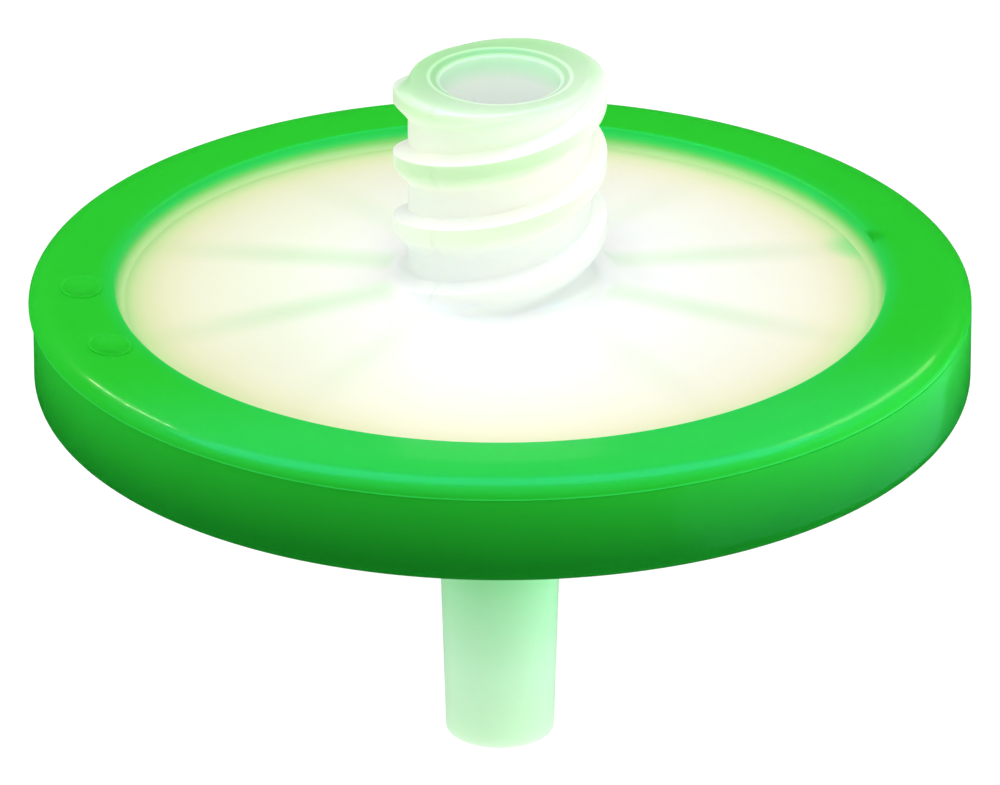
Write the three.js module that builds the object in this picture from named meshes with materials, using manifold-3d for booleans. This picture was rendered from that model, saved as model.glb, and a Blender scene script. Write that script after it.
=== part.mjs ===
// Syringe filter: two welded housing shells with a membrane clamped between them, sealed by
// a moulded rim. Threaded female Luer inlet on top, male Luer slip outlet below.
// Millimetres, +Z up. Origin: centre of the outlet tip's end face, on the axis of the filter.
import * as THREE from "three";
import { mergeVertices } from "three/addons/utils/BufferGeometryUtils.js";
import Module from "manifold-3d";

const wasm = await Module();
wasm.setup();

// ---------- Driving dimensions ----------

// Sealing rim
const rimRadius = 17.0;        // largest radius, at the parting line
const rimWidth = 3.13;         // from there in to the window that shows the shells
const rimLip = 0.7;            // lip over and under the shells' edge
const rimWall = 1.4;           // wall outside the shells' edge
const rimEdgeBevel = 0.12;     // bevel on the inner edge of each lip
const rimLipDraft = 0.08;      // the lips' inner walls lean in this much towards the shells
const crownWidth = 1.6;        // rounded shoulder, inwards from the largest radius
const crownDrop = 0.8;         // height of the shoulder, down to the parting line
const partingStep = 0.09;      // the lower mould half is this much smaller in radius
const rimFootRound = 0.7;      // round at the rim's lower outside edge
const rimClearance = 0.02;     // between the rim's pocket and the shells, all round

// Shells at the clamped edge
const inletEdgeThickness = 1.2;
const outletEdgeThickness = 1.6;
const weldWidth = 0.85;        // ring outside the membrane where shell meets shell
const clampWidth = 1.45;       // ring where the shells hold the membrane

// Membrane
const membraneThickness = 0.15;
const membraneClearance = 0.1; // radial, inside its recess

// Inlet shell
const inletRise = 0.85;        // the plate climbs this much from the rim to the hub
const plateMargin = 0.37;      // flat edge that shows in the window, before the plate's slope
const inletChamberDepth = 0.35;// room above the membrane, at the chamber's edge
const inletRibCount = 10;
const inletRibWidth = 0.6;
const inletRibInner = 3.9;
const inletRibMargin = 0.7;    // from a rib's outer end to the chamber's edge
const inletRibGap = 0.15;      // between a rib and the membrane
const firstRibAngle = 18;      // degrees

// Female Luer lock hub
const hubHeight = 7.88;        // above the rim's top
const hubNeckRadius = 3.3;
const hubRootRound = 0.55;     // round between the hub and the plate
const hubTopBevel = 0.1;
const luerTaper = 0.03;        // change of radius per length: the 6% Luer cone
const inletBoreRadius = 2.15;  // at the mouth
const inletBoreBevel = 0.13;
const inletFloor = 0.35;       // floor of the bore, over the chamber
const inletHoleRadius = 1.3;   // hole in that floor

// Thread on the hub
const threadStarts = 2;
const threadLead = 5.0;
const threadHeight = 0.54;     // from the neck to the crest
const threadBaseWidth = 1.55;
const threadCrestWidth = 0.55;
const threadCrestBevel = 0.12;
const threadPassHeight = 4.65; // above the rim's top, where a crest passes threadPassAngle
const threadPassAngle = 180;   // degrees
const threadEmbed = 0.3;       // how far a ridge reaches into the neck

// Outlet shell
const outletDrop = 0.85;       // the plate falls this much from the rim to the stem
const supportRingCount = 5;
const supportRingWidth = 0.6;
const drainDepth = 0.45;       // grooves between the support rings
const drainChannelCount = 10;
const drainChannelWidth = 0.7;
const drainWellRadius = 2.2;   // hollow over the outlet bore
const drainWellDepth = 1.1;

// Stem and male Luer slip outlet
const outletLength = 13.8;     // from the tip to the rim's underside
const slipLength = 9.0;
const slipTipRadius = 1.973;
const slipTipBevel = 0.12;
const stemRadius = 3.0;
const stemShoulder = 0.45;     // height of the cone from the slip out to the stem
const stemRootRound = 1.2;
const outletBoreRadius = 1.15;

// Fineness of the round surfaces
const turnSteps = 72;
const threadStepsPerTurn = 36;
const arcSteps = 3;

// ---------- Derived places ----------

const rimWindowRadius = rimRadius - rimWidth;
const plateStart = rimWindowRadius - plateMargin;
const threadRadius = hubNeckRadius + threadHeight;
const shellRadius = rimRadius - partingStep - rimWall;
const membraneRadius = shellRadius - weldWidth - membraneClearance;
const chamberRadius = shellRadius - weldWidth - clampWidth;

const rimBottom = outletLength;
const outletEdgeBottom = rimBottom + rimLip;
const weldPlane = outletEdgeBottom + outletEdgeThickness;
const inletEdgeTop = weldPlane + inletEdgeThickness;
const rimTop = inletEdgeTop + rimLip;
const membraneSeat = weldPlane - membraneThickness;
const hubTop = rimTop + hubHeight;
const parting = rimTop - crownDrop;

const inletSlope = inletRise / (plateStart - hubNeckRadius);
const outletSlope = outletDrop / (plateStart - stemRadius);
const inletPlateTop = (r) => inletEdgeTop + inletSlope * (plateStart - r);
const inletCeiling = (r) => weldPlane + inletChamberDepth + inletSlope * (chamberRadius - r);
const outletPlateBottom = (r) => outletEdgeBottom - outletSlope * (plateStart - r);

// ---------- Tools ----------

const radians = THREE.MathUtils.degToRad;

// Points of an elliptical arc in the (r, z) half plane, angles in degrees.
function arc(centreR, centreZ, radiusR, radiusZ, from, to, steps = arcSteps) {
  const points = [];
  for (let i = 0; i <= steps; i += 1) {
    const a = radians(from + ((to - from) * i) / steps);
    points.push([centreR + radiusR * Math.cos(a), centreZ + radiusZ * Math.sin(a)]);
  }
  return points;
}

// A profile in the (r, z) half plane, anticlockwise, turned once round the Z axis.
function turned(profile) {
  const loop = [...profile, profile[0]].map(([r, z]) => new THREE.Vector2(r, z));
  const geometry = new THREE.LatheGeometry(loop, turnSteps);
  geometry.rotateX(Math.PI / 2);
  return geometry;
}

// A closed geometry as a manifold-3d solid.
function solid(geometry) {
  const bare = geometry.clone();
  bare.deleteAttribute("normal");
  bare.deleteAttribute("uv");
  const merged = mergeVertices(bare, 1e-5);
  const vertProperties = new Float32Array(merged.attributes.position.array);
  const triVerts = new Uint32Array(merged.index.array);
  const body = new wasm.Manifold(new wasm.Mesh({ numProp: 3, vertProperties, triVerts }));
  if (body.volume() < 0) {
    throw new Error("a shape is inside out");
  }
  return body;
}

// A manifold-3d solid as a three.js geometry.
function surface(body) {
  const { vertProperties, triVerts, numProp } = body.getMesh();
  if (numProp !== 3) {
    throw new Error("only positions are expected");
  }
  const geometry = new THREE.BufferGeometry();
  geometry.setAttribute("position", new THREE.BufferAttribute(new Float32Array(vertProperties), 3));
  geometry.setIndex(new THREE.BufferAttribute(new Uint32Array(triVerts), 1));
  geometry.computeVertexNormals();
  return geometry;
}

// A flat outline in the (r, z) half plane, made into a bar across the radius at one angle.
function radialBar(outline, width, angle) {
  const shape = new THREE.Shape(outline.map(([r, z]) => new THREE.Vector2(r, z)));
  const bar = new THREE.ExtrudeGeometry(shape, { depth: width, bevelEnabled: false });
  bar.translate(0, 0, -width / 2);
  bar.rotateX(Math.PI / 2);
  bar.rotateZ(radians(angle));
  return bar;
}

// A section carried up a helix: sectionAt(angle) gives its (r, z) points, anticlockwise.
function helicalRidge(sectionAt, fromAngle, toAngle) {
  const steps = Math.ceil(((toAngle - fromAngle) / 360) * threadStepsPerTurn);
  const positions = [];
  const indices = [];
  let count = 0;
  for (let i = 0; i <= steps; i += 1) {
    const angle = fromAngle + ((toAngle - fromAngle) * i) / steps;
    const section = sectionAt(angle);
    count = section.length;
    for (const [r, z] of section) {
      positions.push(r * Math.cos(radians(angle)), r * Math.sin(radians(angle)), z);
    }
  }
  for (let i = 0; i < steps; i += 1) {
    for (let j = 0; j < count; j += 1) {
      const a = i * count + j;
      const b = i * count + ((j + 1) % count);
      indices.push(a, a + count, b, b, a + count, b + count);
    }
  }
  const last = steps * count;
  for (let j = 1; j < count - 1; j += 1) {
    indices.push(0, j, j + 1);
    indices.push(last, last + j + 1, last + j);
  }
  const geometry = new THREE.BufferGeometry();
  geometry.setAttribute("position", new THREE.Float32BufferAttribute(positions, 3));
  geometry.setIndex(indices);
  return geometry;
}

// ---------- Sealing rim ----------

// One C-shaped section: rounded shoulder, parting step, pocket for the shells and two lips.
function sealingRim() {
  const bodyRadius = rimRadius - partingStep;
  const pocketRadius = shellRadius + rimClearance;
  const footCentre = bodyRadius - rimFootRound;
  const lipFlat = rimWindowRadius + rimEdgeBevel;
  const lipFoot = rimWindowRadius - rimLipDraft;
  return turned([
    ...arc(rimRadius - crownWidth, parting, crownWidth, crownDrop, 0, 90, 2 * arcSteps),
    [lipFlat, rimTop],
    [rimWindowRadius, rimTop - rimEdgeBevel],
    [lipFoot, inletEdgeTop + rimClearance],
    [pocketRadius, inletEdgeTop + rimClearance],
    [pocketRadius, outletEdgeBottom - rimClearance],
    [lipFoot, outletEdgeBottom - rimClearance],
    [rimWindowRadius, rimBottom + rimEdgeBevel],
    [lipFlat, rimBottom],
    ...arc(footCentre, rimBottom + rimFootRound, rimFootRound, rimFootRound, 270, 360),
    [bodyRadius, parting],
  ]);
}

// ---------- Inlet shell: plate, ribs, hub and thread ----------

function inletBody() {
  const boreFoot = inletCeiling(inletHoleRadius) + inletFloor;
  const boreFootRadius = inletBoreRadius - luerTaper * (hubTop - boreFoot);
  const rootRadius = hubNeckRadius + hubRootRound;
  return turned([
    [inletHoleRadius, inletCeiling(inletHoleRadius)],
    [chamberRadius, inletCeiling(chamberRadius)],
    [chamberRadius, weldPlane],
    [shellRadius, weldPlane],
    [shellRadius, inletEdgeTop],
    [plateStart, inletEdgeTop],
    ...arc(rootRadius, inletPlateTop(rootRadius) + hubRootRound, hubRootRound, hubRootRound, 270, 180),
    [hubNeckRadius, hubTop - hubTopBevel],
    [hubNeckRadius - hubTopBevel, hubTop],
    [inletBoreRadius + inletBoreBevel, hubTop],
    [inletBoreRadius, hubTop - inletBoreBevel],
    [boreFootRadius, boreFoot],
    [inletHoleRadius, boreFoot],
  ]);
}

// Flow ribs under the plate, each reaching up into it by half of its thickness.
function inletRib(angle) {
  const outer = chamberRadius - inletRibMargin;
  const foot = weldPlane + inletRibGap;
  const inPlate = (r) => (inletCeiling(r) + inletPlateTop(r)) / 2;
  return radialBar(
    [
      [inletRibInner, foot],
      [outer, foot],
      [outer, inPlate(outer)],
      [inletRibInner, inPlate(inletRibInner)],
    ],
    inletRibWidth,
    angle,
  );
}

// One ridge of the double-start, right-hand Luer lock thread. It starts hidden in the plate and
// runs on past the hub's top.
function threadRidge(startTurn) {
  const passHeight = rimTop + threadPassHeight;
  const crestHeight = (angle) => passHeight + (threadLead * (angle - threadPassAngle)) / 360;
  const crestAngle = (z) => threadPassAngle + ((z - passHeight) * 360) / threadLead;
  const startAngle = crestAngle(inletPlateTop(threadRadius) - threadBaseWidth / 2);
  const endAngle = crestAngle(hubTop + threadBaseWidth);
  const crest = threadCrestWidth / 2;
  const shoulder = crest + threadCrestBevel;
  const shoulderRadius = threadRadius - threadCrestBevel;
  // The flanks run on at their own slope to the foot, which lies inside the neck.
  const flankSpread = (threadBaseWidth / 2 - shoulder) / (shoulderRadius - hubNeckRadius);
  const footRadius = hubNeckRadius - threadEmbed;
  const foot = threadBaseWidth / 2 + flankSpread * threadEmbed;
  const sectionAt = (angle) => {
    const z = crestHeight(angle);
    return [
      [footRadius, z - foot],
      [shoulderRadius, z - shoulder],
      [threadRadius, z - crest],
      [threadRadius, z + crest],
      [shoulderRadius, z + shoulder],
      [footRadius, z + foot],
    ];
  };
  const ridge = helicalRidge(sectionAt, startAngle, endAngle);
  ridge.rotateZ(radians(startTurn));
  return ridge;
}

function inletHousing() {
  let body = solid(inletBody());
  for (let i = 0; i < inletRibCount; i += 1) {
    body = body.add(solid(inletRib(firstRibAngle + (360 * i) / inletRibCount)));
  }
  let thread = solid(threadRidge(0));
  for (let i = 1; i < threadStarts; i += 1) {
    thread = thread.add(solid(threadRidge((360 * i) / threadStarts)));
  }
  // What a ridge has above the hub's top face, or below the plate, is cut off.
  const reach = 2 * (threadRadius + threadLead);
  const above = new THREE.BoxGeometry(reach, reach, reach);
  above.translate(0, 0, hubTop + reach / 2);
  const below = new THREE.BoxGeometry(reach, reach, reach);
  below.translate(0, 0, (inletEdgeTop + inletCeiling(threadRadius)) / 2 - reach / 2);
  return surface(body.add(thread.subtract(solid(above)).subtract(solid(below))));
}

// ---------- Membrane ----------

function membrane() {
  const half = membraneThickness / 2;
  const disc = new THREE.CylinderGeometry(membraneRadius, membraneRadius, 2 * half, turnSteps);
  disc.rotateX(Math.PI / 2);
  disc.translate(0, 0, membraneSeat + half);
  return disc;
}

// ---------- Outlet shell: plate, support rings, drain, stem and slip ----------

function outletBody() {
  const recessRadius = membraneRadius + membraneClearance;
  const rootRadius = stemRadius + stemRootRound;
  const slipTopRadius = slipTipRadius + luerTaper * slipLength;
  const ringPitch = (chamberRadius - drainWellRadius) / supportRingCount;
  const grooveFloor = membraneSeat - drainDepth;
  const rings = [];
  for (let i = supportRingCount - 1; i >= 0; i -= 1) {
    const inner = drainWellRadius + i * ringPitch;
    rings.push([inner + ringPitch, membraneSeat]);
    rings.push([inner + ringPitch, grooveFloor]);
    rings.push([inner + supportRingWidth, grooveFloor]);
    rings.push([inner + supportRingWidth, membraneSeat]);
  }
  return turned([
    [outletBoreRadius, 0],
    [slipTipRadius - slipTipBevel, 0],
    [slipTipRadius, slipTipBevel],
    [slipTopRadius, slipLength],
    [stemRadius, slipLength + stemShoulder],
    ...arc(rootRadius, outletPlateBottom(rootRadius) - stemRootRound, stemRootRound, stemRootRound, 180, 90),
    [plateStart, outletEdgeBottom],
    [shellRadius, outletEdgeBottom],
    [shellRadius, weldPlane],
    [recessRadius, weldPlane],
    [recessRadius, membraneSeat],
    ...rings,
    [drainWellRadius, membraneSeat],
    [drainWellRadius, grooveFloor],
    [outletBoreRadius, membraneSeat - drainWellDepth],
  ]);
}

// A channel across all the support rings, from the drain well to the outermost groove.
function drainChannel(angle) {
  const outer = chamberRadius - supportRingWidth;
  return radialBar(
    [
      [outletBoreRadius, membraneSeat - drainDepth],
      [outer, membraneSeat - drainDepth],
      [outer, weldPlane],
      [outletBoreRadius, weldPlane],
    ],
    drainChannelWidth,
    angle,
  );
}

function outletHousing() {
  let body = solid(outletBody());
  for (let i = 0; i < drainChannelCount; i += 1) {
    body = body.subtract(solid(drainChannel((360 * i) / drainChannelCount)));
  }
  return surface(body);
}

// ---------- Materials and assembly ----------

const naturalPlastic = new THREE.MeshStandardMaterial({
  color: 0xeef5e6,
  roughness: 0.35,
  metalness: 0,
});
const greenPlastic = new THREE.MeshStandardMaterial({
  color: 0x2fc33c,
  roughness: 0.4,
  metalness: 0,
});
const membraneWhite = new THREE.MeshStandardMaterial({
  color: 0xf7f5ee,
  roughness: 0.9,
  metalness: 0,
});

function piece(name, geometry, material) {
  const mesh = new THREE.Mesh(geometry, material);
  mesh.name = name;
  return mesh;
}

const syringeFilter = new THREE.Group();
syringeFilter.add(piece("inlet_housing", inletHousing(), naturalPlastic));
syringeFilter.add(piece("filter_membrane", membrane(), membraneWhite));
syringeFilter.add(piece("outlet_housing", outletHousing(), naturalPlastic));
syringeFilter.add(piece("sealing_rim", sealingRim(), greenPlastic));

export default syringeFilter;
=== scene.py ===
# %% [markdown]
# # A syringe filter
# A syringe filter is a small disposable cartridge. Liquid is pushed in at the threaded top,
# passes a thin membrane and leaves at the tapered outlet below. Two shells of milky
# polypropylene hold the membrane, and a green rim is moulded round their edges to seal them.
# The engineering model of the four pieces comes first. It fixes every size, and the pieces
# modelled here stand in its places, with the smooth rounds and the finish of real mouldings.

from math import cos, pi, radians, sin, tan, tau

import bmesh
import bpy
from mathutils import Matrix, Quaternion, Vector


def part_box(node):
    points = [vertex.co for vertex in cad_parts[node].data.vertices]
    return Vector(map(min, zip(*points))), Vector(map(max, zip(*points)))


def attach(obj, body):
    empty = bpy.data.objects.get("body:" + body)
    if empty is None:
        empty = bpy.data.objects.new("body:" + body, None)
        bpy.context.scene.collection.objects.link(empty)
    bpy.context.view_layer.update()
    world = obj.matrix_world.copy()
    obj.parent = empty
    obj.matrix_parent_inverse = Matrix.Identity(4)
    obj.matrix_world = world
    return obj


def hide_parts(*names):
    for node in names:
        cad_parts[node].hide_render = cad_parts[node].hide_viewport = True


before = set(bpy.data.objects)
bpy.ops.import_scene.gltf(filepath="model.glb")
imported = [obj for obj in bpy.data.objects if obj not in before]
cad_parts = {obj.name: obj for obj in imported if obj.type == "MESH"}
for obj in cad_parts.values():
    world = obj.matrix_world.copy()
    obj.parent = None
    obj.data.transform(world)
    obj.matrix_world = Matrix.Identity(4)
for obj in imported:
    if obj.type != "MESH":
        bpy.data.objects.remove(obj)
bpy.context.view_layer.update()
MM = 0.001  # Blender works in metres, and this part is described in millimetres
for name in sorted(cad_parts):
    low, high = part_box(name)
    print(name, "from", [round(c / MM, 2) for c in low], "to", [round(c / MM, 2) for c in high], "mm")

# %% [markdown]
# ## The sizes
# The places that matter are read from the engineering model, so that the new pieces fit it:
# the rim gives its own radius and both of its faces, the inlet shell gives the weld plane and
# the top of the hub. What can't be read from a box, such as the depth of a thread, is named
# here once, in millimetres.

# %% Sizes of the filter, in millimetres
rim_low, rim_high = [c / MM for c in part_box("sealing_rim")]
shell_low, shell_high = [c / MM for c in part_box("inlet_housing")]
disc_low, disc_high = [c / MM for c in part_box("filter_membrane")]

RIM_RADIUS = rim_high.x
RIM_TOP = rim_high.z
RIM_BOTTOM = rim_low.z
SHELL_RADIUS = shell_high.x
WELD = shell_low.z  # the plane where the two shells meet
HUB_TOP = shell_high.z
SEAT = disc_low.z  # the membrane's underside
MEMBRANE_RADIUS = disc_high.x

WINDOW_RADIUS = 13.87  # the rim's round window, which shows the plate
EDGE_WALL = 0.85  # the shells outside the membrane
CLAMP_WIDTH = 1.45  # the ring in which the shells clamp the membrane
CHAMBER_DEPTH = 0.35  # between the membrane and the inlet plate, at the chamber's edge
LIP = 0.7  # how far the rim reaches over the shells' edge
PLATE_EDGE = RIM_TOP - LIP
SHELL_BOTTOM = RIM_BOTTOM + LIP
PLATE_START = 13.5  # the plate is flat out to here and climbs inwards from here
PLATE_RISE = 0.85
UNDERSIDE_DROP = 0.85  # the outlet plate slopes down by this much to its stem
CHAMBER_RADIUS = SHELL_RADIUS - EDGE_WALL - CLAMP_WIDTH
NECK_RADIUS = 3.3
THREAD_RADIUS = 3.84
STEM_RADIUS = 3.0


def plate_top(radius):
    """Height of the inlet plate's upper face at a radius."""
    return PLATE_EDGE + PLATE_RISE * (PLATE_START - radius) / (PLATE_START - NECK_RADIUS)


def chamber_roof(radius):
    """Height of the inlet plate's lower face at a radius."""
    slope = PLATE_RISE / (PLATE_START - NECK_RADIUS)
    return WELD + CHAMBER_DEPTH + slope * (CHAMBER_RADIUS - radius)


def plate_bottom(radius):
    """Height of the outlet plate's lower face at a radius."""
    return SHELL_BOTTOM - UNDERSIDE_DROP * (PLATE_START - radius) / (PLATE_START - STEM_RADIUS)


print("the plate climbs from", round(plate_top(PLATE_START), 2), "to", round(plate_top(NECK_RADIUS), 2))

# %% [markdown]
# ## Drawing a section
# Every piece of this filter is round, and a toolmaker would turn its mould on a lathe. The
# same way is used here: half of the section is drawn once, in the plane through the axis,
# and then spun. A single point is extruded from corner to corner, as with a pencil, and the
# last point is merged with the first.

# %% Helpers for drawing and selecting
def alone(piece=None):
    """Deselects everything, then selects the one piece and makes it active."""
    bpy.ops.object.select_all(action="DESELECT")
    if piece:
        piece.select_set(True)
        bpy.context.view_layer.objects.active = piece


def pick(test):
    """In edit mode, selects the points whose place, in millimetres, passes the test."""
    mesh = bmesh.from_edit_mesh(bpy.context.object.data)
    for vert in mesh.verts:
        vert.select_set(bool(test(vert.co / MM)))
    mesh.select_flush(True)
    mesh.select_flush(False)
    bmesh.update_edit_mesh(bpy.context.object.data)


def radius_of(place):
    """Distance from the filter's axis."""
    return (place.x ** 2 + place.y ** 2) ** 0.5


def draw_outline(name, points):
    """Draws a closed outline through points in millimetres, and stays in edit mode."""
    alone()
    bpy.ops.mesh.primitive_plane_add(size=0.01 * MM, location=Vector(points[0]) * MM)
    piece = bpy.context.object
    piece.name = piece.data.name = name
    bpy.ops.object.transform_apply(location=True, rotation=False, scale=False)
    bpy.ops.object.mode_set(mode="EDIT")
    bpy.ops.mesh.select_all(action="SELECT")
    bpy.ops.mesh.merge(type="CENTER")
    for here, there in zip(points, points[1:] + points[:1]):
        step = (Vector(there) - Vector(here)) * MM
        bpy.ops.mesh.extrude_vertices_move(TRANSFORM_OT_translate={"value": step})
    bpy.ops.mesh.select_all(action="SELECT")
    bpy.ops.mesh.remove_doubles(threshold=0.001 * MM)
    return piece


def section(points):
    """Points given as radius and height, placed in the plane through the axis."""
    return [(r, 0.0, z) for r, z in points]


def arc(centre_r, centre_z, wide, high, start, end, steps):
    """Points of an elliptical arc in the section, with its angles in degrees."""
    turns = [radians(start + (end - start) * i / steps) for i in range(steps + 1)]
    return [(centre_r + wide * cos(a), centre_z + high * sin(a)) for a in turns]


def spin_round(steps):
    """Spins the selected outline once round the axis and closes the seam."""
    bpy.ops.mesh.spin(steps=steps, angle=tau, center=(0, 0, 0), axis=(0, 0, 1))
    bpy.ops.mesh.select_all(action="SELECT")
    bpy.ops.mesh.remove_doubles(threshold=0.001 * MM)
    bpy.ops.mesh.normals_make_consistent(inside=False)


def finish_piece(piece, sharpest=38):
    """Back to object mode, smooth shading except over edges sharper than the angle."""
    bpy.ops.object.mode_set(mode="OBJECT")
    alone(piece)
    bpy.ops.object.shade_smooth_by_angle(angle=radians(sharpest))
    mesh = bmesh.new()
    mesh.from_mesh(piece.data)
    volume = mesh.calc_volume(signed=True) / MM ** 3
    open_edges = sum(1 for edge in mesh.edges if not edge.is_manifold)
    triangles = sum(len(face.verts) - 2 for face in mesh.faces)
    mesh.free()
    print(piece.name, triangles, "triangles,", round(volume, 1), "cubic mm,", open_edges, "open edges")


# %% [markdown]
# ## The green rim
# The rim is injected round the edges of both shells while they are held in the mould, so its
# section is a C that grips them. Its upper outside is a broad, flattened round: an ellipse
# 1.6 mm wide and 0.8 mm high. The mould opens at the foot of that round. The lower half of
# the mould is a little smaller and sits a few hundredths of a millimetre off centre, which
# leaves the fine step and groove that a fingernail feels on such a part. Inside, the lip
# comes down to the plate in a soft fillet: the hot melt crept a little way over the plate,
# ran out thin and bonded to it, so there is no gap. The section is drawn with all of this and
# spun, and its lower half is then pushed aside by the mould's error.

# %% Model the rim
RIM_STEPS = 288
SHOULDER_WIDE, SHOULDER_HIGH = 1.6, 0.8
PARTING = RIM_TOP - SHOULDER_HIGH
UPPER_RADIUS = RIM_RADIUS - 0.03
LOWER_RADIUS = RIM_RADIUS - 0.11
MOULD_SHIFT = 0.085
FOOT_ROUND = 0.7
EDGE_ROUND = 0.14  # the window's edges, above and below
FEATHER = 0.36  # the lip's foot runs out thin over the plate
BOND = 0.3  # the hot rim melts this deep into the shell, so the two are one
POCKET = SHELL_RADIUS + 0.02

rim_section = [
    *arc(UPPER_RADIUS - 0.05, PARTING - 0.01, 0.05, 0.04, -80, 0, 4),
    *arc(UPPER_RADIUS - SHOULDER_WIDE, PARTING, SHOULDER_WIDE, SHOULDER_HIGH, 3, 90, 22),
    (WINDOW_RADIUS + 0.8, RIM_TOP),
    *arc(WINDOW_RADIUS + EDGE_ROUND, RIM_TOP - EDGE_ROUND, EDGE_ROUND, EDGE_ROUND, 90, 172, 6),
    *arc(WINDOW_RADIUS - FEATHER - 0.03, PLATE_EDGE + FEATHER, FEATHER, FEATHER - 0.002, -8, -86, 7),
    (WINDOW_RADIUS - FEATHER, PLATE_EDGE - BOND),
    (POCKET, PLATE_EDGE - BOND),
    (POCKET, SHELL_BOTTOM - 0.01),
    (WINDOW_RADIUS - 0.07, SHELL_BOTTOM - 0.01),
    *arc(WINDOW_RADIUS + EDGE_ROUND, RIM_BOTTOM + EDGE_ROUND, EDGE_ROUND, EDGE_ROUND, 180, 270, 6),
    *arc(LOWER_RADIUS - FOOT_ROUND, RIM_BOTTOM + FOOT_ROUND, FOOT_ROUND, FOOT_ROUND, 270, 360, 12),
    (LOWER_RADIUS, PARTING - 1.6),
    (LOWER_RADIUS, PARTING - 0.8),
    *arc(LOWER_RADIUS - 0.06, PARTING - 0.12, 0.06, 0.06, 0, 80, 4),
    (LOWER_RADIUS - 0.07, PARTING - 0.055),
]
rim = draw_outline("rim_overmould", section(rim_section))
spin_round(RIM_STEPS)
pick(lambda p: p.z < PARTING - 0.052 and radius_of(p) > LOWER_RADIUS - FOOT_ROUND - 0.01)
bpy.ops.transform.translate(value=(MOULD_SHIFT * MM, 0, 0))
bpy.ops.object.mode_set(mode="OBJECT")
print("the rim has", RIM_STEPS, "steps and", len(rim_section), "points in its section")

# %% [markdown]
# Two blank oval pads stand on the rim's top, each with a fine raised edge. They are the ends
# of mould inserts, which a moulder changes to mark a batch. On the part they are only a few
# hundredths of a millimetre high, so they are modelled on one short oval post, which is
# copied to its two bearings and united with the rim.

# %% Model the pads and finish the rim
PAD_BEARINGS = (183.5, 203)
PAD_OUT = 15.05  # from the axis to a pad's middle
PAD_WIDE, PAD_LONG = 1.5, 1.9
PAD_HIGH = 0.035
PAD_EDGE = 0.09  # width of the raised edge
PAD_SUNK = 0.022  # the field inside it lies this much lower
POST_DEPTH = 0.4


def combine(piece, other, operation):
    """Unites the other piece with this one, or cuts it away, and removes it."""
    alone(piece)
    cut = piece.modifiers.new(operation.title(), "BOOLEAN")
    cut.operation = operation
    cut.solver = "EXACT"
    cut.object = other
    bpy.ops.object.modifier_apply(modifier=cut.name)
    bpy.data.objects.remove(other)


alone()
bpy.ops.mesh.primitive_cylinder_add(
    vertices=48, radius=PAD_WIDE / 2 * MM, depth=POST_DEPTH * MM,
    location=(PAD_OUT * MM, 0, (RIM_TOP + PAD_HIGH - POST_DEPTH / 2) * MM),
)
pad = bpy.context.object
pad.name = pad.data.name = "pad"
bpy.ops.object.transform_apply(location=True, rotation=False, scale=False)
bpy.ops.object.mode_set(mode="EDIT")
bpy.ops.mesh.select_all(action="SELECT")
bpy.ops.transform.resize(value=(1, PAD_LONG / PAD_WIDE, 1), center_override=(PAD_OUT * MM, 0, 0))
pick(lambda p: p.z > RIM_TOP)
bpy.ops.mesh.inset(thickness=PAD_EDGE * MM)
bpy.ops.mesh.inset(thickness=PAD_EDGE / 3 * MM, depth=-PAD_SUNK * MM)
bpy.ops.object.mode_set(mode="OBJECT")
for bearing in PAD_BEARINGS:
    alone(pad)
    bpy.ops.object.duplicate()
    copy = bpy.context.object
    copy.data.transform(Matrix.Rotation(radians(bearing), 4, "Z"))
    combine(rim, copy, "UNION")
bpy.data.objects.remove(pad)
alone(rim)
bpy.ops.object.mode_set(mode="EDIT")
finish_piece(rim)

# %% [markdown]
# ## The threaded hub
# The inlet is a female Luer lock: a hub with two ridges that wind up it as a right-hand
# screw, each rising 5 mm in a turn. Cut level anywhere, such a hub shows the same oval, a
# circle with two broad bulges, only turned. So the oval is drawn once and lifted by small
# steps, and each step turns it by its share of the lead. The columns of the mesh then follow
# the ridges, which keeps their soft flanks smooth, and every ring stays level, which lets
# the foot flare into the plate and the top round off as on the real moulding. Each ridge is
# short and steep above, where the syringe's lock pulls on it, and runs out long and soft
# below, which gives a bright edge over a broad, faint shadow.

# %% Draw the oval of the hub
LEAD = 5.0
TURN_PER_MM = tau / LEAD
CREST_PASS_HEIGHT = RIM_TOP + 4.72  # a crest crosses the left side at this height
CREST_PASS_ANGLE = pi
CREST_HALF = 0.26  # flat of a ridge's crest, to each side of its middle
UPPER_FLANK = 0.28  # heights of the flanks, above and below the crest
LOWER_FLANK = 0.74
HUB_COLUMNS = 240
HUB_MEAN = (NECK_RADIUS + THREAD_RADIUS) / 2


def smooth_step(value):
    """Rises from 0 to 1 with level ends."""
    value = min(max(value, 0.0), 1.0)
    return value * value * (3 - 2 * value)


def hub_radius(angle, height):
    """Radius of the threaded wall: the neck, plus the nearer ridge."""
    crest = CREST_PASS_ANGLE + (height - CREST_PASS_HEIGHT) * TURN_PER_MM
    above_crest = -((angle - crest + pi / 2) % pi - pi / 2) / TURN_PER_MM
    flank = UPPER_FLANK if above_crest > 0 else LOWER_FLANK
    slope = min(max((CREST_HALF + flank - abs(above_crest)) / flank, 0), 1)
    share = 0.55 * slope + 0.45 * smooth_step(slope)
    return NECK_RADIUS + (THREAD_RADIUS - NECK_RADIUS) * share


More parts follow.
